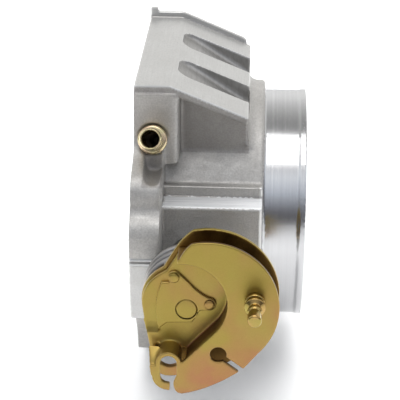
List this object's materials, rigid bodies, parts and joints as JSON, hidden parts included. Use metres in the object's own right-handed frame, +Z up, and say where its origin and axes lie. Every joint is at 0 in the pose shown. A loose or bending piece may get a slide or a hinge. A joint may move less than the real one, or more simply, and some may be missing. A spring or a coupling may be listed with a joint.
{
  "type": "throttle body",
  "caption": "Cast aluminium cable throttle body: round bore with butterfly plate, turned inlet collar, plated cable quadrant, return springs and vacuum nipple.",
  "frame": {"origin": "centre of the 80 mm bore, in the plane of the manifold mounting face", "axes": "+X along the bore from the manifold face to the air inlet collar, +Z up, -Y towards the cable lever"},
  "size_m": [0.0679, 0.2025, 0.1381],
  "materials": {
    "cast_aluminium": "sand-cast with turned and milled faces",
    "bearing_steel": "ground",
    "spring_steel": "oiled wire",
    "yellow_zinc": "yellow zinc plated",
    "plate_brass": "satin",
    "seal_rubber": "matte",
    "black_nylon": "moulded"
  },
  "bodies": {
    "housing": {"body_casting": "cast_aluminium", "lever_bearing_outer_ring": "bearing_steel", "sensor_bearing_outer_ring": "bearing_steel", "lever_bearing_ball_cage": "bearing_steel", "sensor_bearing_ball_cage": "bearing_steel", "lever_shaft_seal": "seal_rubber", "sensor_shaft_seal": "seal_rubber", "lever_retaining_ring": "spring_steel", "sensor_retaining_ring": "spring_steel", "vacuum_nipple": "yellow_zinc", "idle_stop_screw": "bearing_steel", "idle_stop_locknut": "yellow_zinc", "spring_anchor_pin": "bearing_steel"},
    "throttle": {"throttle_shaft": "bearing_steel", "throttle_plate": "plate_brass", "plate_screw_lever_side": "bearing_steel", "plate_screw_sensor_side": "bearing_steel", "lever_bearing_inner_ring": "bearing_steel", "sensor_bearing_inner_ring": "bearing_steel", "shaft_spacer": "bearing_steel", "spring_spool": "black_nylon", "return_spring_outer": "spring_steel", "return_spring_inner": "spring_steel", "lever_rear_plate": "yellow_zinc", "cable_quadrant": "yellow_zinc", "drive_plate": "yellow_zinc", "drive_plate_rivet_right": "yellow_zinc", "drive_plate_rivet_left": "yellow_zinc", "cable_stud": "yellow_zinc", "cable_stud_nut": "yellow_zinc"}
  },
  "joints": [
    {"name": "throttle_turn", "type": "hinge", "parent": "housing", "child": "throttle", "pos_m": [0.0235, 0, 0], "axis": [0, -1, 0], "range_deg": [0, 82], "stiffness_Nm_per_rad": 0.6, "springref_deg": -28.65, "deforming": ["return_spring_outer", "return_spring_inner"]}
  ]
}
